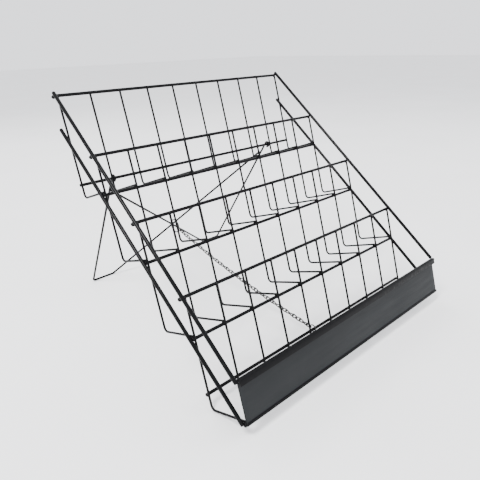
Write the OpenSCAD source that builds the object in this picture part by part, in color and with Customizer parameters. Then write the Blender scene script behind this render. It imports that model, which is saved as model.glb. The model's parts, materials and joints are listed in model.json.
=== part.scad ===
// Folding four-tier wire display rack for paperback books.
// Forty L-shaped wires make four stepped shelves on round cross rods, two side rails tie
// each side together, a sheet folded over a rod holds a label panel across the front, and a
// crossed wire leg swings out behind on the upper back rod until a chain stops it.

/* [Shelves] */
// Distance between neighbouring shelf wires
wire_gap = 50; // [44:1:54]
// Depth of one shelf, front to back
shelf_depth = 69; // [55:1:90]
// Drop from one shelf to the next
shelf_step = 96; // [85:1:110]
// Height of a shelf's front edge over its floor
lip_height = 55; // [45:1:65]
// Centreline radius of the bend between a shelf's back and floor
floor_bend = 6; // [5:0.5:9]
// How far the rack leans back
lean = 15.5; // [14:0.5:17]

/* [Wire sizes] */
// Diameter of the shelf wires
shelf_wire_d = 3.2; // [2.6:0.1:3.6]
// Diameter of the cross rods
rod_d = 4.8; // [4:0.1:5.5]
// Diameter of the side rails
side_rail_d = 5.4; // [4.5:0.1:6]
// Diameter of the leg wire
leg_wire_d = 3.8; // [3:0.1:4.2]

/* [Label strip] */
// Height of the label channel
channel_height = 61.4; // [58:0.2:64]
// Sheet thickness of the channel
channel_sheet = 0.9; // [0.8:0.1:1.1]
// Drop of the channel's front fold below the label rod's axis
upper_lip = 6; // [4:0.5:9]
// Height of the channel's lower lip
lower_lip = 4; // [2:0.5:6]
// Thickness of the label panel
panel_sheet = 1.2; // [0.8:0.1:1.6]
// Length of label rod that sticks out of the right end of the channel
label_rod_stub = 4; // [1:0.5:5]

/* [Leg] */
// Length from the hook's tangent point to the foot
leg_length = 287; // [278:1:296]
// Distance of each hook from the rack's middle
leg_hook_x = 171; // [171:0.5:171.5]
// Distance of each foot's outer corner from the rack's middle
foot_outer_x = 161; // [156:1:165]
// Distance of each foot's inner corner from the rack's middle
foot_inner_x = 117; // [112:1:122]
// Distance down each side wire where the other frame's diagonal is welded on
weld_drop = 28; // [22:1:34]
// Turn of each hook around the back rod
hook_turn = 250; // [220:5:280]

/* [Chain] */
// Width of a chain link
chain_d = 7; // [5:0.5:8]
// Outer width of the chain loop round the leg's crossing
loop_d = 28; // [26:1:32]
// Sideways offset of the chain's hook on the lower back rod
chain_hook_x = -13; // [-16:1:-10]

/* [Hidden] */
$fn = 48;
TIERS = 4;
WIRES = 10;
SIDES = [["left", -1], ["right", 1]];

BLACK = "#17181a";
LABEL_GREY = "#3f4347";
ZINC = "#b9bbbd";

// Clearance left between two wires that are welded side by side
touch = 0.02;
// Running clearance of the leg's hooks on the back rod
hook_clearance = 0.08;
// A bend is this much thicker than its wire's straights, which end this far inside it
bend_swell = 0.04;
bend_bite = 0.3;

wire_r = shelf_wire_d / 2;
rod_r = rod_d / 2;
rail_r = side_rail_d / 2;
leg_r = leg_wire_d / 2;

// Axis distances of wires that lie against each other
wire_on_rod = wire_r + rod_r + touch;
rod_on_rail = rod_r + rail_r + touch;
outer_wire_x = wire_gap * (WIRES - 1) / 2;
rail_x = outer_wire_x + wire_r + rail_r + touch;

// The leaning rack's own frame has Y back and Z up along the shelf backs, with the top
// edge of tier 1 at its origin.
back_height = shelf_step + lip_height;
function back_y(tier) = -(tier - 1) * shelf_depth;
function back_top(tier) = -(tier - 1) * shelf_step;
function floor_z(tier) = back_top(tier) - back_height;
function rod_y(tier) = -tier * shelf_depth + wire_on_rod;
function rod_z(tier) = -tier * shelf_step - lip_height;
back_rod_rise = 20;
back_rod_stub = 0.2;

// A floor wire drops from its rod to the bend, which is level with the rod's axis
floor_slope = asin(wire_on_rod / (shelf_depth - wire_on_rod));
floor_tip = 1.7;
floor_reach = shelf_depth - wire_on_rod + floor_tip;
wire_top = 1;

// Places in the upright frame, before the rack is moved onto its origin
function world_y(y, z) = y * cos(lean) + z * sin(lean);
function world_z(y, z) = z * cos(lean) - y * sin(lean);

// The rack stands on the bends of its last tier
bend_y = back_y(TIERS) - floor_bend;
bend_z = floor_z(TIERS) + floor_bend * (tan(floor_slope) + 1 / cos(floor_slope));
ground = world_z(bend_y, bend_z) - floor_bend - wire_r;

// An upper side rail lies over the lip rails' ends on their upper front side, and a lower
// one passes the floor rods' ends at the rods' own height
slope_length = norm([shelf_depth, shelf_step]);
along_y = -shelf_depth / slope_length;
along_z = -shelf_step / slope_length;
over_y = along_z * rod_on_rail;
over_z = -along_y * rod_on_rail;
upper_rail_stub = 2;
lower_rail_stub = 10.8;
rod_past_rail = 1.2;

// The right rails stop short of the label strip, the left ones run on beside its end
right_rail_trim = 2.2;
lower_left_trim = 0.7;
upper_left_past = 2.8;

// Label strip: a sheet that rises in front of the last floor rod and folds over the label
// rod, whose axis is a little above the place of a fourth lip rail
label_fold_r = rod_r + touch + channel_sheet;
channel_gap = 0.05;
channel_back = rod_y(TIERS) - rod_r - channel_gap;
label_rod_y = channel_back - label_fold_r;
label_rod_rise = 2.5;
label_rod_z = back_top(TIERS + 1) + label_rod_rise;
channel_bottom = label_rod_z + label_fold_r - channel_height;
panel_gap = 0.1;
lower_lip_front = channel_back - 2 * channel_sheet - panel_sheet - panel_gap;
channel_left = -(rail_x - rail_r - 0.1);
label_rod_left = channel_left + 0.4;
label_rod_right = rail_x + rail_r;
channel_right = label_rod_right - label_rod_stub;

// Leg hinge: the axis of the upper back rod
hinge_y = wire_on_rod;
hinge_z = floor_z(1) + back_rod_rise;
hinge_world_y = world_y(hinge_y, hinge_z);
hinge_world_z = world_z(hinge_y, hinge_z) - ground;
hook_r = rod_r + hook_clearance + leg_r;
hinge_drop = hinge_world_z - leg_r;
hinge_reach = norm([leg_length, hook_r]);
hinge_run = sqrt(hinge_reach * hinge_reach - hinge_drop * hinge_drop);
leg_angle = atan2(hinge_run, hinge_drop) - asin(hook_r / hinge_reach);
leg_bend = 5;
side_wire_taper = atan2(leg_hook_x - foot_outer_x, leg_length);

// The diagonals cross one wire apart, and each is welded to the other frame's side wire
leg_stack = leg_wire_d + 0.25;
weld_inset = 1;
weld_x = leg_hook_x - weld_inset;
cross_drop = weld_drop + (leg_length - weld_drop) * weld_x / (weld_x + foot_inner_x);
foot_spread = leg_stack * (foot_outer_x - foot_inner_x) / (weld_x + foot_outer_x);

// The chain hangs from a loop round the crossing and hooks on the lower back rod. The loop
// stands in the middle plane, pulled towards the chain until its rear meets the wires.
loop_wire_d = 2.4;
chain_gap = 0.1;
chain_rod_y = back_y(TIERS) + wire_on_rod;
chain_rod_z = floor_z(TIERS) + back_rod_rise;
chain_hook = [
    chain_hook_x,
    world_y(chain_rod_y, chain_rod_z),
    world_z(chain_rod_y, chain_rod_z)
];
crossing = [
    0,
    hinge_world_y + hook_r * cos(leg_angle) + cross_drop * sin(leg_angle),
    hinge_world_z + ground + hook_r * sin(leg_angle) - cross_drop * cos(leg_angle)
];
loop_play = 0.7;
loop_pull = loop_d / 2 - loop_wire_d - leg_stack / 2 - leg_r - loop_play;
loop_centre = crossing + loop_pull * unit([0, chain_hook[1] - crossing[1], chain_hook[2] - crossing[2]]);

// Front and rear limits of the whole stand, which centre it on its origin
front_y = world_y(lower_lip_front, channel_bottom);
rear_y = hinge_world_y + hinge_run + leg_r + foot_spread / cos(leg_angle);
origin_y = (front_y + rear_y) / 2;

// ---------- helpers ----------

function unit(v) = v / norm(v);
function turn(a, b, c) = acos(unit(b - a) * unit(c - b));
function bend_cut(a, b, c, bend) = bend * tan(turn(a, b, c) / 2);

// Moves a child from the leaning rack's frame to the stand's own frame
module rack_pose() {
    stand_pose()
        rotate([-lean, 0, 0])
            children();
}

// Moves a child from the upright frame onto the stand's own origin
module stand_pose() {
    translate([0, -origin_y, -ground])
        children();
}

// Moves a child from the leg's frame, hanging down from the hinge, to the stand's frame
module leg_pose() {
    stand_pose()
        translate([0, hinge_world_y, hinge_world_z + ground])
            rotate([leg_angle, 0, 0])
                children();
}

// A round bar between two points
module bar(a, b, d) {
    z = unit(b - a);
    side = abs(z[0]) < 0.9 ? [1, 0, 0] : [0, 1, 0];
    x = unit(cross(side, z));
    y = cross(z, x);
    multmatrix([
        [x[0], y[0], z[0], a[0]],
        [x[1], y[1], z[1], a[1]],
        [x[2], y[2], z[2], a[2]],
        [0, 0, 0, 1]
    ])
        cylinder(h = norm(b - a), d = d);
}

// The bend at b of a wire that runs from a through b to c
module elbow(a, b, c, d, bend) {
    y = unit(b - a);
    n = unit(cross(y, unit(c - b)));
    x = cross(y, n);
    start = b - y * bend_cut(a, b, c, bend);
    centre = start - x * bend;
    multmatrix([
        [x[0], y[0], n[0], centre[0]],
        [x[1], y[1], n[1], centre[1]],
        [x[2], y[2], n[2], centre[2]],
        [0, 0, 0, 1]
    ])
        rotate_extrude(angle = turn(a, b, c))
            translate([bend, 0])
                circle(d = d + bend_swell);
}

// A round wire through points, bent to one radius at each inner point. Its straights reach
// a little way into its bends, and by lead past its first end.
module wire(points, d, bend, lead = 0) {
    last = len(points) - 1;
    for (i = [0 : last - 1]) {
        a = points[i];
        b = points[i + 1];
        along = unit(b - a);
        start = i == 0 ? lead : bend_bite - bend_cut(points[i - 1], a, b, bend);
        end = i + 1 == last ? 0 : bend_bite - bend_cut(a, b, points[i + 2], bend);
        bar(a - along * start, b + along * end, d);
    }
    for (i = [1 : 1 : last - 1])
        elbow(points[i - 1], points[i], points[i + 1], d, bend);
}

// ---------- shelves ----------

// One L-shaped wire: down the shelf's back, round the bend and forward as its floor
module shelf_wire(tier, number) {
    x = (number - 1) * wire_gap - outer_wire_x;
    corner = [x, back_y(tier), floor_z(tier)];
    color(BLACK)
        rack_pose()
            wire([
                [x, back_y(tier), back_top(tier) + wire_top],
                corner,
                corner + floor_reach * [0, -1, tan(floor_slope)]
            ], shelf_wire_d, floor_bend);
}

// A straight rod across the rack, reaching the same distance to both sides
module cross_rod(y, z, half_length) {
    color(BLACK)
        rack_pose()
            bar([-half_length, y, z], [half_length, y, z], rod_d);
}

module top_rail() {
    cross_rod(wire_on_rod, back_top(1), rail_x + rod_past_rail);
}

module lip_rail(tier) {
    cross_rod(rod_y(tier), back_top(tier + 1), rail_x + rod_past_rail);
}

module floor_rod(tier) {
    cross_rod(rod_y(tier), rod_z(tier), outer_wire_x + wire_r);
}

module back_rod_upper() {
    cross_rod(hinge_y, hinge_z, outer_wire_x + wire_r + back_rod_stub);
}

module back_rod_lower() {
    cross_rod(chain_rod_y, chain_rod_z, outer_wire_x + wire_r + back_rod_stub);
}

// A rail down one side, from above its first point to its trimmed end at the label strip
module side_rail(first, stub, trim) {
    along = [0, along_y, along_z];
    color(BLACK)
        rack_pose()
            bar(first - along * stub,
                first + along * (TIERS * slope_length - trim), side_rail_d);
}

module side_rail_upper(side) {
    trim = side < 0 ? -upper_left_past : right_rail_trim;
    side_rail([side * rail_x, wire_on_rod + over_y, over_z], upper_rail_stub, trim);
}

module side_rail_lower(side) {
    trim = side < 0 ? lower_left_trim : right_rail_trim;
    side_rail([side * rail_x, wire_on_rod, -lip_height], lower_rail_stub, trim);
}

// ---------- label strip ----------

module label_rod() {
    color(BLACK)
        rack_pose()
            bar([label_rod_left, label_rod_y, label_rod_z],
                [label_rod_right, label_rod_y, label_rod_z], rod_d);
}

// The sheet's section, drawn round the label rod's axis, with the front towards -X
module channel_section() {
    bottom = channel_bottom - label_rod_z;
    lip_x = lower_lip_front - label_rod_y;
    intersection() {
        difference() {
            circle(r = label_fold_r);
            circle(r = label_fold_r - channel_sheet);
        }
        translate([-label_fold_r, 0])
            square([2 * label_fold_r, label_fold_r]);
    }
    translate([-label_fold_r, -upper_lip])
        square([channel_sheet, upper_lip]);
    translate([label_fold_r - channel_sheet, bottom])
        square([channel_sheet, -bottom]);
    translate([lip_x, bottom])
        square([label_fold_r - lip_x - channel_sheet, channel_sheet]);
    translate([lip_x, bottom + channel_sheet])
        square([channel_sheet, lower_lip - channel_sheet]);
}

module label_channel() {
    color(BLACK)
        rack_pose()
            translate([channel_left, label_rod_y, label_rod_z])
                rotate([90, 0, 90])
                    linear_extrude(height = channel_right - channel_left)
                        channel_section();
}

module label_panel() {
    inset = 0.3;
    bottom = channel_bottom + channel_sheet + panel_gap;
    top = label_rod_z - rod_r - 2 * inset;
    color(LABEL_GREY)
        rack_pose()
            translate([
                channel_left + inset,
                channel_back - channel_sheet - touch - panel_sheet,
                bottom
            ])
                cube([channel_right - channel_left - 2 * inset, panel_sheet, top - bottom]);
}

// ---------- leg ----------

// The open hook that turns on the upper back rod
module leg_hook() {
    rotate([90, 0, 90])
        rotate_extrude(angle = hook_turn)
            translate([hook_r, 0])
                circle(d = leg_wire_d + bend_swell);
}

// Half of the leg: hook, side wire, foot and the diagonal up to the other side wire
module leg_frame(side) {
    foot_shift = -side * foot_spread;
    weld_shift = -side * leg_stack;
    hook = [side * leg_hook_x, hook_r, 0];
    foot_outer = [side * foot_outer_x, hook_r, -leg_length];
    foot_inner = [
        side * foot_inner_x,
        hook_r + foot_shift,
        -leg_length - foot_shift * tan(leg_angle)
    ];
    weld = [-side * weld_x, hook_r + weld_shift, -weld_drop];
    color(BLACK)
        leg_pose() {
            translate([side * leg_hook_x, 0, 0])
                rotate([0, side * side_wire_taper, 0])
                    leg_hook();
            wire([hook, foot_outer, foot_inner, weld], leg_wire_d, leg_bend, bend_bite);
        }
}

// ---------- chain ----------

// The end of the chain, closed round the crossing of the leg's diagonals
module chain_loop() {
    translate(loop_centre)
        rotate([0, 90, 0])
            rotate_extrude()
                translate([(loop_d - loop_wire_d) / 2, 0])
                    circle(d = loop_wire_d);
}

// The chain: its end loop, and its run from there to the lower back rod
module chain() {
    run = unit(chain_hook - loop_centre);
    color(ZINC)
        stand_pose() {
            chain_loop();
            bar(loop_centre + run * (loop_d / 2 + chain_gap),
                chain_hook - run * (rod_r + chain_gap), chain_d);
        }
}

// ---------- drawing ----------

for (tier = [1 : TIERS], number = [1 : WIRES])
    shelf_wire(tier, number);
top_rail();
for (tier = [1 : TIERS - 1])
    lip_rail(tier);
for (tier = [1 : TIERS])
    floor_rod(tier);
back_rod_upper();
back_rod_lower();
for (side = SIDES) {
    side_rail_upper(side[1]);
    side_rail_lower(side[1]);
    leg_frame(side[1]);
}
label_rod();
label_channel();
label_panel();
chain();
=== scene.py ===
import json
import math

import bmesh
import bpy
from mathutils import Matrix, Quaternion, Vector


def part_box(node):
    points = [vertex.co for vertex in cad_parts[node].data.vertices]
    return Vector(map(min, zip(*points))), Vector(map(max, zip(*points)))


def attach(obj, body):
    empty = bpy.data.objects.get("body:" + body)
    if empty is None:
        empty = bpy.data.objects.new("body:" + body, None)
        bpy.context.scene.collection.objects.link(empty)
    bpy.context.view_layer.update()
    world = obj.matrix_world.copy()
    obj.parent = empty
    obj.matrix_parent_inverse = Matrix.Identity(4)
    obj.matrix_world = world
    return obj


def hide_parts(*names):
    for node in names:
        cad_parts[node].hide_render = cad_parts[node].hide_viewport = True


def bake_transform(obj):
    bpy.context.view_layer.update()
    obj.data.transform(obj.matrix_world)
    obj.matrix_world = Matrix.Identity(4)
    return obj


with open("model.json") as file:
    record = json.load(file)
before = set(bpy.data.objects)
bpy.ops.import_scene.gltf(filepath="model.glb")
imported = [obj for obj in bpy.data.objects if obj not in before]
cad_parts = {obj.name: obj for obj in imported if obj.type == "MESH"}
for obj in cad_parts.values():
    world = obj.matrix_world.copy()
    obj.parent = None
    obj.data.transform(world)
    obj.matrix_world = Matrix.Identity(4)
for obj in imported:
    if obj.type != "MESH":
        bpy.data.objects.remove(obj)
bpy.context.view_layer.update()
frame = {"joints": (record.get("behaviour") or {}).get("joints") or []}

# A folding four-tier wire book stand: dip-coated wires, rods and rails, a folded label strip,
# a crossed wire leg and a zinc-plated chain. Lengths are in metres.

MM = 0.001
TIERS = range(1, 5)
WIRES = range(1, 11)
SIDES = {"left": -1, "right": 1}
HINGE = Vector(frame["joints"][0]["pos_m"])
ACROSS = Vector((1, 0, 0))

TOUCH = 0.02 * MM
BEND_SWELL = 0.04 * MM
FLOOR_BEND = 6 * MM
WIRE_TOP = 1 * MM
FLOOR_TIP = 1.7 * MM

LEG_WIRE = 3.8 * MM
LEG_HOOK_X = 171 * MM
LEG_HOOK_GAP = 0.08 * MM
LEG_HOOK_TURN = 250
LEG_FOOT_OUTER = 161 * MM
LEG_FOOT_INNER = 117 * MM
LEG_WELD_X = 170 * MM
LEG_WELD_DROP = 28 * MM
LEG_STACK = LEG_WIRE + 0.25 * MM
LEG_BEND = 5 * MM
LEG_WELD_BITE = 0.2 * MM

SHEET = 0.9 * MM
STRIP_HEIGHT = 61.4 * MM
UPPER_LIP = 6 * MM
LOWER_LIP = 4 * MM
STRIP_FOLD = 1 * MM
STRIP_EDGE = 0.16 * MM
PANEL_SHEET = 1.2 * MM
PANEL_GAP = 0.1 * MM
PANEL_SLACK = 0.1 * MM
PANEL_BOW = 0.04 * MM
PANEL_HALF_WAVES = 7
PANEL_EDGE = 0.3 * MM

LOOP_WIDTH = 28 * MM
LOOP_WIRE = 2.4 * MM
HOOK_RING_WIDTH = 12.5 * MM
HOOK_RING_WIRE = 1.8 * MM
CHAIN_HOOK_X = -13 * MM
LINK_WIDTH = 7 * MM
LINK_WIRE = 1.9 * MM
LINK_PITCH = 7.7 * MM
LINK_TWIST = math.radians(50)
LINK_WOBBLE = math.radians(14)
CHAIN_SAG = 9 * MM
CHAIN_FOLD_FROM = 0.45

CAMERA_PLACE = Vector((-0.5175, -0.5753, 0.4284))
CAMERA_TOWARDS = Vector((0.6211, 0.6859, -0.3792))
CAMERA_ROLL = math.radians(-1.86)
CAMERA_LENS = 36.0

# Half sizes of the beads of coating at the welds, along, across and out of each
WIRE_WELD = (2.6 * MM, 2.2 * MM, 1.3 * MM)
RAIL_WELD = (2.6 * MM, 3 * MM, 1.6 * MM)
LEG_WELD = (4.2 * MM, 2.6 * MM, 1.6 * MM)


# ---------- the frame's own places ----------

def middle(node):
    """The centre of a CAD node's box."""
    low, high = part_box(node)
    return (low + high) / 2


def extent(node):
    """The size of a CAD node's box."""
    low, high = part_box(node)
    return high - low


def flat(point):
    """A point moved to the middle plane."""
    return Vector((0, point.y, point.z))


ROD_R = extent("top_rail").z / 2
RAIL_R = extent("side_rail_upper_left").x / 2
WIRE_R = (extent("tier_1_wire_1").x - BEND_SWELL) / 2
LEG_R = LEG_WIRE / 2
WIRE_ON_ROD = ROD_R + WIRE_R + TOUCH

# The leaning rack's own directions: up along the shelf backs, back square to them, and down
# the slope that the rails follow
UP = flat(middle("lip_rail_1") - middle("floor_rod_1")).normalized()
BACK = UP.cross(ACROSS)
STEP = flat(middle("lip_rail_1") - middle("top_rail"))
SLOPE = STEP.normalized()
SHELF_DEPTH = -STEP.dot(BACK)
FLOOR_SLOPE = math.asin(WIRE_ON_ROD / (SHELF_DEPTH - WIRE_ON_ROD))
FLOOR_REACH = SHELF_DEPTH - WIRE_ON_ROD + FLOOR_TIP


def rail_behind(tier):
    """The rod behind the top ends of a tier's wires."""
    return "top_rail" if tier == 1 else f"lip_rail_{tier - 1}"


# ---------- materials ----------

COAT_BLACK = (0.003, 0.003, 0.0034)
COAT_DUSTY = (0.008, 0.008, 0.0085)
PANEL_DARK = (0.0105, 0.0117, 0.0128)
PANEL_LIGHT = (0.0135, 0.0148, 0.0158)
ZINC_DULL = (0.012, 0.012, 0.013)
ZINC_BRIGHT = (0.08, 0.078, 0.074)


def new_material(name, color, roughness, metallic=0.0):
    """A material with its shader, its node tree and the object's own coordinates."""
    material = bpy.data.materials.new(name)
    material.use_nodes = True
    tree = material.node_tree
    shader = tree.nodes["Principled BSDF"]
    shader.inputs["Base Color"].default_value = (*color, 1)
    shader.inputs["Roughness"].default_value = roughness
    shader.inputs["Metallic"].default_value = metallic
    place = tree.nodes.new("ShaderNodeTexCoord").outputs["Object"]
    return material, tree, shader, place


def noise(tree, place, scale, detail=3.0, stretch=(1, 1, 1)):
    """A noise pattern, finer where scale is larger, stretched along the axes."""
    mapping = tree.nodes.new("ShaderNodeMapping")
    mapping.inputs["Scale"].default_value = stretch
    tree.links.new(place, mapping.inputs["Vector"])
    texture = tree.nodes.new("ShaderNodeTexNoise")
    texture.inputs["Scale"].default_value = scale
    texture.inputs["Detail"].default_value = detail
    tree.links.new(mapping.outputs["Vector"], texture.inputs["Vector"])
    return texture.outputs["Fac"]


def ranged(tree, value, low, high, start=0.3, end=0.7):
    """A value between start and end, mapped onto low to high."""
    node = tree.nodes.new("ShaderNodeMapRange")
    tree.links.new(value, node.inputs["Value"])
    node.inputs["From Min"].default_value = start
    node.inputs["From Max"].default_value = end
    node.inputs["To Min"].default_value = low
    node.inputs["To Max"].default_value = high
    return node.outputs["Result"]


def tinted(tree, value, dark, light):
    """A colour between dark and light, by value."""
    mix = tree.nodes.new("ShaderNodeMix")
    mix.data_type = "RGBA"
    tree.links.new(value, mix.inputs["Factor"])
    mix.inputs["A"].default_value = (*dark, 1)
    mix.inputs["B"].default_value = (*light, 1)
    return mix.outputs["Result"]


def bumped(tree, shader, *layers):
    """Bump layers on a shader, each a height and the distance it stands in metres."""
    normal = None
    for height, distance in layers:
        bump = tree.nodes.new("ShaderNodeBump")
        bump.inputs["Distance"].default_value = distance
        tree.links.new(height, bump.inputs["Height"])
        if normal:
            tree.links.new(normal, bump.inputs["Normal"])
        normal = bump.outputs["Normal"]
    tree.links.new(normal, shader.inputs["Normal"])


def coat_material(name, roughness, peel):
    """Black dip coating with orange peel, slow runs and a little dust."""
    material, tree, shader, place = new_material(name, COAT_BLACK, roughness)
    runs = noise(tree, place, 90, 2, (1, 1, 0.35))
    skin = noise(tree, place, 900, 2)
    dust = noise(tree, place, 240, 6)
    color = tinted(tree, ranged(tree, dust, 0, 1, 0.5, 0.85), COAT_BLACK, COAT_DUSTY)
    tree.links.new(color, shader.inputs["Base Color"])
    gloss = ranged(tree, dust, roughness - 0.07, roughness + 0.12)
    tree.links.new(gloss, shader.inputs["Roughness"])
    shader.inputs["Specular IOR Level"].default_value = 0.08
    bumped(tree, shader, (runs, 0.12 * MM), (skin, peel))
    return material


def panel_material():
    """Satin dark grey label panel with a fine leathery grain and faint scuffs along it."""
    material, tree, shader, place = new_material("label_panel_satin", PANEL_DARK, 0.5)
    shader.inputs["Specular IOR Level"].default_value = 0.13
    grain = noise(tree, place, 2200, 3)
    cloud = noise(tree, place, 14, 3)
    scuff = noise(tree, place, 160, 4, (0.08, 1, 1))
    color = tinted(tree, ranged(tree, cloud, 0, 1), PANEL_DARK, PANEL_LIGHT)
    tree.links.new(color, shader.inputs["Base Color"])
    tree.links.new(ranged(tree, scuff, 0.48, 0.58), shader.inputs["Roughness"])
    bumped(tree, shader, (grain, 0.05 * MM), (cloud, 0.15 * MM))
    return material


def zinc_material():
    """Zinc plating: bright metal with dull, slightly blue and yellow patches."""
    material, tree, shader, place = new_material("chain_zinc_plate", ZINC_BRIGHT, 0.4, 1.0)
    patches = noise(tree, place, 260, 4)
    spangle = noise(tree, place, 1500, 2)
    color = tinted(tree, ranged(tree, patches, 0, 1), ZINC_DULL, ZINC_BRIGHT)
    tree.links.new(color, shader.inputs["Base Color"])
    tree.links.new(ranged(tree, patches, 0.5, 0.34), shader.inputs["Roughness"])
    bumped(tree, shader, (spangle, 0.04 * MM))
    return material


COATS = {
    "wire_coat": coat_material("wire_dip_coat", 0.26, 0.05 * MM),
    "rod_coat": coat_material("rod_dip_coat", 0.24, 0.05 * MM),
    "rail_coat": coat_material("rail_dip_coat", 0.19, 0.05 * MM),
    "leg_coat": coat_material("leg_dip_coat", 0.26, 0.05 * MM),
    "channel_coat": coat_material("channel_dip_coat", 0.5, 0.03 * MM),
    "label_panel": panel_material(),
    "chain_zinc": zinc_material(),
}


# ---------- mesh helpers ----------

def finish_piece(name, mesh, body, slot, nodes=()):
    """Makes an object of a bmesh, with its material, the body it rides on and what it replaces."""
    bmesh.ops.recalc_face_normals(mesh, faces=mesh.faces)
    data = bpy.data.meshes.new(name)
    mesh.to_mesh(data)
    mesh.free()
    data.shade_smooth()
    data.materials.append(COATS[slot])
    piece = bpy.data.objects.new(name, data)
    bpy.context.scene.collection.objects.link(piece)
    if body:
        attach(piece, body)
    if nodes:
        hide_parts(*nodes)
    return piece


def rounded(corners, bend, steps=8):
    """The corners' route with each inner corner rounded to a radius."""
    route = [corners[0]]
    for before, corner, after in zip(corners, corners[1:], corners[2:]):
        inward, outward = (before - corner).normalized(), (after - corner).normalized()
        half = inward.angle(outward) / 2
        centre = corner + (inward + outward).normalized() * bend / math.sin(half)
        start = corner + inward * bend / math.tan(half)
        end = corner + outward * bend / math.tan(half)
        turn = (start - centre).rotation_difference(end - centre)
        for step in range(steps + 1):
            part = Quaternion().slerp(turn, step / steps)
            route.append(centre + part @ (start - centre))
    route.append(corners[-1])
    return route


def frames_along(route, closed):
    """A place and two directions square to the route at each of its points."""
    count = len(route)
    side = None
    frames = []
    for i, point in enumerate(route):
        before = route[i - 1] if closed or i > 0 else point
        after = route[(i + 1) % count] if closed or i + 1 < count else point
        tangent = (after - before).normalized()
        side = side or tangent.orthogonal()
        side = (side - tangent * side.dot(tangent)).normalized()
        frames.append((point, side, tangent.cross(side)))
    return frames


def rim_rings(frame_at_end, inward, radius, rounding=0.5, steps=4):
    """The rings of a rounded rim, from the end face to the full radius."""
    point, side, other = frame_at_end
    edge = radius * rounding
    rings = []
    for step in range(steps + 1):
        angle = math.pi / 2 * (1 - step / steps)
        centre = point + inward * edge * (1 - math.sin(angle))
        rings.append((centre, side, other, radius - edge + edge * math.cos(angle)))
    return rings


def add_tube(mesh, route, radius, closed=False, sides=16):
    """Adds a round tube along a route. An open one has rounded rims at its ends."""
    frames = frames_along(route, closed)
    rings = [(*place, radius) for place in frames]
    if not closed:
        first = (route[1] - route[0]).normalized()
        last = (route[-2] - route[-1]).normalized()
        rings = (
            rim_rings(frames[0], first, radius)
            + rings[1:-1]
            + rim_rings(frames[-1], last, radius)[::-1]
        )
    loops = []
    for centre, side, other, size in rings:
        angles = [2 * math.pi * k / sides for k in range(sides)]
        loops.append([
            mesh.verts.new(centre + (side * math.cos(a) + other * math.sin(a)) * size) for a in angles
        ])
    pairs = list(zip(loops, loops[1:]))
    if closed:
        pairs.append((loops[-1], loops[0]))
    else:
        mesh.faces.new(loops[0])
        mesh.faces.new(loops[-1])
    for one, two in pairs:
        for k in range(sides):
            after = (k + 1) % sides
            mesh.faces.new((one[k], one[after], two[after], two[k]))


def add_bead(mesh, centre, along, across, sizes):
    """Adds a flattened ball of coating, with its half sizes along, across and out."""
    along = along.normalized()
    out = along.cross(across).normalized()
    across = out.cross(along)
    turn = Matrix((along * sizes[0], across * sizes[1], out * sizes[2])).transposed().to_4x4()
    bmesh.ops.create_icosphere(mesh, subdivisions=3, radius=1, matrix=Matrix.Translation(centre) @ turn)


def straight(node, along, radius):
    """The two ends of a straight round bar, from its box."""
    centre, size = middle(node), extent(node)
    axis = max(range(3), key=lambda i: abs(along[i]))
    share = abs(along[axis])
    half = (size[axis] - 2 * radius * math.sqrt(1 - share * share)) / share / 2
    return [centre - along * half, centre + along * half]


def ring(centre, one, two, radius, steps=40):
    """A circle's points in the plane of two directions."""
    angles = [2 * math.pi * k / steps for k in range(steps)]
    return [centre + (one * math.cos(a) + two * math.sin(a)) * radius for a in angles]


# ---------- rack ----------

def make_bars():
    """Every rod and rail, with rounded ends."""
    rods = [rail_behind(tier) for tier in TIERS] + [f"floor_rod_{tier}" for tier in TIERS]
    for node in rods + ["back_rod_upper", "back_rod_lower", "label_rod"]:
        mesh = bmesh.new()
        add_tube(mesh, straight(node, ACROSS, ROD_R), ROD_R, sides=20)
        finish_piece(f"{node}_coated", mesh, "rack", "rod_coat", [node])
    for level in ("upper", "lower"):
        for side in SIDES:
            node = f"side_rail_{level}_{side}"
            mesh = bmesh.new()
            add_tube(mesh, straight(node, SLOPE, RAIL_R), RAIL_R, sides=20)
            finish_piece(f"{node}_coated", mesh, "rack", "rail_coat", [node])


def make_shelf_wires():
    """The L-shaped wires: down a shelf's back, round a bend and forward as its floor."""
    for tier in TIERS:
        behind = flat(middle(rail_behind(tier))) - BACK * WIRE_ON_ROD
        floor_level = (flat(middle(f"floor_rod_{tier}")) - behind).dot(UP)
        corner = behind + UP * floor_level
        tip = corner + (UP * math.tan(FLOOR_SLOPE) - BACK) * FLOOR_REACH
        for number in WIRES:
            node = f"tier_{tier}_wire_{number}"
            across = ACROSS * middle(node).x
            mesh = bmesh.new()
            corners = [across + point for point in (behind + UP * WIRE_TOP, corner, tip)]
            add_tube(mesh, rounded(corners, FLOOR_BEND), WIRE_R)
            finish_piece(f"{node}_coated", mesh, "rack", "wire_coat", [node])


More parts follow.
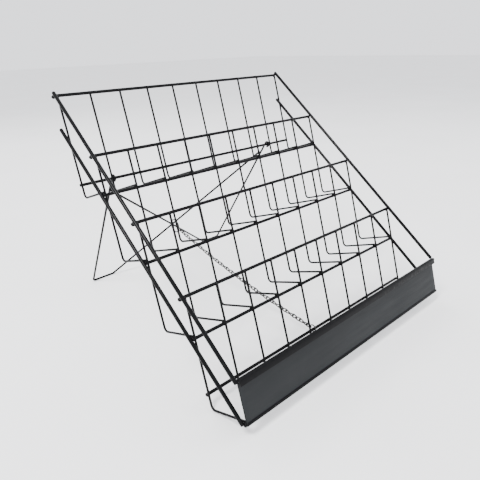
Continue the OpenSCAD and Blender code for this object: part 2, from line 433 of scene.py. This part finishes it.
def make_rack_welds():
    """The coating that has pooled round each weld of the rack."""
    for tier in TIERS:
        mesh = bmesh.new()
        floor_rod = middle(f"floor_rod_{tier}")
        rail = middle(rail_behind(tier))
        for number in WIRES:
            across = ACROSS * middle(f"tier_{tier}_wire_{number}").x
            add_bead(mesh, across + flat(rail) - BACK * ROD_R, ACROSS, UP, WIRE_WELD)
            add_bead(mesh, across + flat(floor_rod) + UP * ROD_R, ACROSS, BACK, WIRE_WELD)
            if tier < len(TIERS):
                add_bead(mesh, across + flat(floor_rod) - BACK * ROD_R, ACROSS, UP, WIRE_WELD)
            if tier in (1, len(TIERS)):
                rod = flat(middle("back_rod_upper" if tier == 1 else "back_rod_lower"))
                add_bead(mesh, across + rod - BACK * ROD_R, ACROSS, UP, WIRE_WELD)
        for side, sign in SIDES.items():
            upper, lower = middle(f"side_rail_upper_{side}"), middle(f"side_rail_lower_{side}")
            over = SLOPE.cross(ACROSS).normalized()
            across = ACROSS * upper.x
            add_bead(mesh, across + flat(rail) - over * ROD_R, ACROSS, SLOPE, RAIL_WELD)
            beside = ACROSS * (lower.x - sign * RAIL_R)
            add_bead(mesh, beside + flat(floor_rod), SLOPE, over, RAIL_WELD)
        finish_piece(f"tier_{tier}_welds", mesh, "rack", "wire_coat")


# ---------- label strip ----------

def strip_section():
    """The strip's sheet in section, as places back from and up from the label rod's axis."""
    fold = ROD_R + TOUCH + SHEET / 2
    bottom = fold + SHEET / 2 - STRIP_HEIGHT + SHEET / 2
    front = fold - SHEET - PANEL_SHEET - PANEL_GAP
    over = [math.pi * (1 - k / 20) for k in range(21)]
    section = [Vector((-fold, -UPPER_LIP, 0))]
    section += [Vector((math.cos(a), math.sin(a), 0)) * fold for a in over]
    corners = [
        section[-1],
        Vector((fold, bottom, 0)),
        Vector((front, bottom, 0)),
        Vector((front, bottom + LOWER_LIP - SHEET / 2, 0)),
    ]
    return section[:-1] + rounded(corners, STRIP_FOLD, 6)


def make_strip():
    """The folded sheet, with its thickness, round folds and dulled edges."""
    section = strip_section()
    axis = flat(middle("label_rod"))
    low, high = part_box("label_channel")
    near, far = [], []
    for i, point in enumerate(section):
        before, after = section[max(i - 1, 0)], section[min(i + 1, len(section) - 1)]
        along = (after - before).normalized()
        out = Vector((-along.y, along.x, 0)) * SHEET / 2
        near.append(point + out)
        far.append(point - out)
    profile = near + far[::-1]
    mesh = bmesh.new()
    loops = []
    for x in (low.x, high.x):
        loops.append([mesh.verts.new(ACROSS * x + axis + BACK * p.x + UP * p.y) for p in profile])
    count = len(profile)
    for k in range(count):
        after = (k + 1) % count
        mesh.faces.new((loops[0][k], loops[0][after], loops[1][after], loops[1][k]))
    for k in range(len(near) - 1):
        for loop in loops:
            mesh.faces.new((loop[k], loop[k + 1], loop[count - 2 - k], loop[count - 1 - k]))
    piece = finish_piece("label_channel_folded", mesh, None, "channel_coat", ["label_channel"])
    soften(piece, STRIP_EDGE)
    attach(piece, "rack")


def soften(piece, width, segments=2):
    """Rounds the sharp edges of a piece's mesh."""
    bevel = piece.modifiers.new("edges", "BEVEL")
    bevel.width = width
    bevel.segments = segments
    bevel.limit_method = "ANGLE"
    bevel.angle_limit = math.radians(50)
    bpy.context.view_layer.update()
    solid = bpy.data.meshes.new_from_object(piece.evaluated_get(bpy.context.evaluated_depsgraph_get()))
    piece.modifiers.clear()
    piece.data = solid
    solid.shade_smooth()
    solid.set_sharp_from_angle(angle=math.radians(40))


def make_panel():
    """The label panel: a thin sheet that bows a little between its ends."""
    size = extent("label_panel")
    height = (size.z - PANEL_SHEET * abs(BACK.z)) / UP.z
    columns, rows = 60, 8
    mesh = bmesh.new()
    layers = []
    for side in (-0.5, 0.5):
        grid = []
        for i in range(columns + 1):
            across = (i / columns - 0.5) * size.x
            bow = math.sin(PANEL_HALF_WAVES * math.pi * i / columns) * PANEL_BOW
            line = []
            for j in range(rows + 1):
                rise = (j / rows - 0.5) * height
                swell = bow * math.sin(math.pi * j / rows)
                depth = side * (PANEL_SHEET - PANEL_SLACK) + swell
                place = ACROSS * across + UP * rise + BACK * depth
                line.append(mesh.verts.new(middle("label_panel") + place))
            grid.append(line)
        layers.append(grid)
    for grid in layers:
        for i in range(columns):
            for j in range(rows):
                mesh.faces.new((grid[i][j], grid[i + 1][j], grid[i + 1][j + 1], grid[i][j + 1]))
    front, rear = layers
    rim = [(i, 0) for i in range(columns)] + [(columns, j) for j in range(rows)]
    rim += [(i, rows) for i in range(columns, 0, -1)] + [(0, j) for j in range(rows, 0, -1)]
    for (i, j), (k, m) in zip(rim, rim[1:] + rim[:1]):
        mesh.faces.new((front[i][j], front[k][m], rear[k][m], rear[i][j]))
    piece = finish_piece("label_panel_sheet", mesh, None, "label_panel", ["label_panel"])
    soften(piece, PANEL_EDGE, 3)
    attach(piece, "rack")


# ---------- leg ----------

def leg_directions():
    """The leg's length, and the directions down it and square behind it."""
    hook = ROD_R + LEG_HOOK_GAP + LEG_R
    drop = HINGE.z - LEG_R
    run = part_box("leg_frame_right")[1].y - BEND_SWELL / 2 - LEG_R - HINGE.y
    reach = math.hypot(run, drop)
    angle = math.atan2(run, drop) - math.asin(hook / reach)
    down = Vector((0, math.sin(angle), -math.cos(angle)))
    behind = Vector((0, math.cos(angle), math.sin(angle)))
    return math.sqrt(reach * reach - hook * hook), angle, down, behind


def make_leg():
    """Two bent wires, each with a hook, a foot and a diagonal up to the other one."""
    length, angle, down, behind = leg_directions()
    hook = ROD_R + LEG_HOOK_GAP + LEG_R
    taper = (LEG_HOOK_X - LEG_FOOT_OUTER) / length
    spread = LEG_STACK * (LEG_FOOT_OUTER - LEG_FOOT_INNER) / (LEG_WELD_X + LEG_FOOT_OUTER)
    welds = bmesh.new()
    for side, sign in SIDES.items():
        def place(x, depth, drop):
            return HINGE + ACROSS * x + behind * depth + down * drop

        top = [math.radians(LEG_HOOK_TURN) * (1 - k / 30) for k in range(31)]
        curl = []
        for a in top:
            rise = hook * math.sin(a)
            curl.append(place(sign * (LEG_HOOK_X + rise * taper), hook * math.cos(a), -rise))
        shift = -sign * spread
        foot_in = place(sign * LEG_FOOT_INNER, hook + shift, length + shift * math.tan(angle))
        weld = place(-sign * LEG_WELD_X, hook - sign * LEG_STACK, LEG_WELD_DROP)
        foot_out = place(sign * LEG_FOOT_OUTER, hook, length)
        mesh = bmesh.new()
        add_tube(mesh, curl[:-1] + rounded([curl[-1], foot_out, foot_in, weld], LEG_BEND), LEG_R)
        finish_piece(f"leg_frame_{side}_coated", mesh, "leg", "leg_coat", [f"leg_frame_{side}"])
        contact = place(-sign * (LEG_WELD_X + LEG_WELD_BITE), hook - sign * LEG_STACK / 2, LEG_WELD_DROP)
        add_bead(welds, contact, down, ACROSS, LEG_WELD)
    finish_piece("leg_welds", welds, "leg", "leg_coat")


# ---------- chain ----------

def link_route(centre, along, turn, pitch):
    """A twisted oval link round its centre: two straight sides and two half rounds."""
    bow = (LINK_WIDTH - LINK_WIRE) / 2
    straight_half = (pitch + LINK_WIRE) / 2 - bow
    flat_side = along.cross(ACROSS).normalized()
    other = along.cross(flat_side)
    steps = 8
    outline = []
    for end in (1, -1):
        for k in range(steps + 1):
            a = math.pi * (k / steps - 0.5)
            outline.append((end * (straight_half + bow * math.cos(a)), end * bow * math.sin(a)))
    route = []
    for forward, aside in outline:
        a = turn + LINK_TWIST * forward / (pitch + LINK_WIRE)
        route.append(centre + along * forward + (flat_side * math.cos(a) + other * math.sin(a)) * aside)
    return route


def make_chain():
    """The ring on the lower back rod, the links and the loop round the leg's crossing."""
    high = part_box("chain")[1]
    loop_centre = Vector((0, high.y - LOOP_WIDTH / 2, high.z - LOOP_WIDTH / 2))
    rod = flat(middle("back_rod_lower")) + ACROSS * CHAIN_HOOK_X
    run = (loop_centre - rod).normalized()

    mesh = bmesh.new()
    side = run.cross(ACROSS).normalized()
    loop_r = (LOOP_WIDTH - LOOP_WIRE) / 2
    add_tube(mesh, ring(loop_centre, flat(run).normalized(), side, loop_r), LOOP_WIRE / 2, True, 12)
    finish_piece("chain_end_loop", mesh, "leg", "chain_zinc", ["chain"])

    mesh = bmesh.new()
    ring_r = (HOOK_RING_WIDTH - HOOK_RING_WIRE) / 2
    ring_centre = rod + run * (ring_r - HOOK_RING_WIRE / 2 - ROD_R)
    add_tube(mesh, ring(ring_centre, run, side, ring_r), HOOK_RING_WIRE / 2, True, 12)
    finish_piece("chain_rod_ring", mesh, "rack", "chain_zinc", ["chain"])

    first = ring_centre + run * (ring_r - (HOOK_RING_WIRE + LINK_WIRE) / 2)
    last = loop_centre - run * (loop_r - (LOOP_WIRE + LINK_WIRE) / 2)
    span = (last - first).length
    count = round((span - LINK_WIRE) / LINK_PITCH)
    pitch = (span - LINK_WIRE) / count
    for number in range(count):
        share = ((number + 0.5) * pitch + LINK_WIRE / 2) / span
        centre = first.lerp(last, share)
        centre.z -= 4 * CHAIN_SAG * share * (1 - share)
        along = (run - Vector((0, 0, 4 * CHAIN_SAG * (1 - 2 * share) / span))).normalized()
        turn = math.pi / 2 * (number % 2) + LINK_WOBBLE * math.sin(number * 1.7)
        mesh = bmesh.new()
        add_tube(mesh, link_route(centre, along, turn, pitch), LINK_WIRE / 2, True, 10)
        name = f"chain_link_{number + 1:02d}"
        link = finish_piece(name, mesh, None, "chain_zinc", ["chain"])
        fold_link(link, max(0.0, (share - CHAIN_FOLD_FROM) / (1 - CHAIN_FOLD_FROM)))


def fold_link(link, share):
    """Attaches a link whose share is zero to the rack; any other link only has its transform baked into
    its mesh and rides on no body."""
    if share == 0:
        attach(link, "rack")
        return
    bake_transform(link)


# ---------- studio ----------

def make_floor():
    """A plain pale floor that reaches far past the stand on all sides."""
    material, tree, shader, place = new_material("studio_floor_white", (0.88, 0.88, 0.88), 0.8)
    mottle = noise(tree, place, 3, 2)
    color = tinted(tree, ranged(tree, mottle, 0, 1), (0.87, 0.87, 0.87), (0.9, 0.9, 0.9))
    tree.links.new(color, shader.inputs["Base Color"])
    data = bpy.data.meshes.new("studio_floor")
    reach = 12.0
    corners = [(-reach, -reach, 0), (reach, -reach, 0), (reach, reach, 0), (-reach, reach, 0)]
    data.from_pydata(corners, [], [(0, 1, 2, 3)])
    data.materials.append(material)
    floor = bpy.data.objects.new("studio_floor", data)
    bpy.context.scene.collection.objects.link(floor)


def add_light(name, place, target, width, power, glossy):
    """A square soft light that points at a target, seen in glossy surfaces or not."""
    data = bpy.data.lights.new(name, "AREA")
    data.shape = "SQUARE"
    data.size = width
    data.energy = power
    light = bpy.data.objects.new(name, data)
    light.location = place
    light.visible_glossy = glossy
    light.rotation_euler = (Vector(target) - Vector(place)).to_track_quat("-Z", "Y").to_euler()
    bpy.context.scene.collection.objects.link(light)


def make_studio():
    """The soft lights and the pale surroundings."""
    make_floor()
    add_light("key_light", (-1.4, -0.3, 2.2), (0, 0, 0.15), 0.7, 90, True)
    add_light("fill_light", (1.9, -1.0, 1.5), (0, 0, 0.15), 1.6, 32, False)
    add_light("rear_light", (0.3, 1.9, 1.8), (0, 0, 0.2), 1.4, 28, False)
    world = bpy.data.worlds.new("studio_air")
    bpy.context.scene.world = world
    world.use_nodes = True
    background = world.node_tree.nodes["Background"]
    background.inputs["Color"].default_value = (0.95, 0.96, 1.0, 1)
    background.inputs["Strength"].default_value = 1.9


def make_camera():
    """The viewing place, a little above and to the left of the stand's front."""
    data = bpy.data.cameras.new("view_camera")
    data.lens = CAMERA_LENS
    data.sensor_width = 36.0
    camera = bpy.data.objects.new("view_camera", data)
    turn = CAMERA_TOWARDS.to_track_quat("-Z", "Y").to_matrix().to_4x4()
    camera.matrix_world = Matrix.Translation(CAMERA_PLACE) @ turn @ Matrix.Rotation(CAMERA_ROLL, 4, "Z")
    bpy.context.scene.collection.objects.link(camera)
    bpy.context.scene.camera = camera


make_camera()
make_bars()
make_shelf_wires()
make_rack_welds()
make_strip()
make_panel()
make_leg()
make_chain()
make_studio()
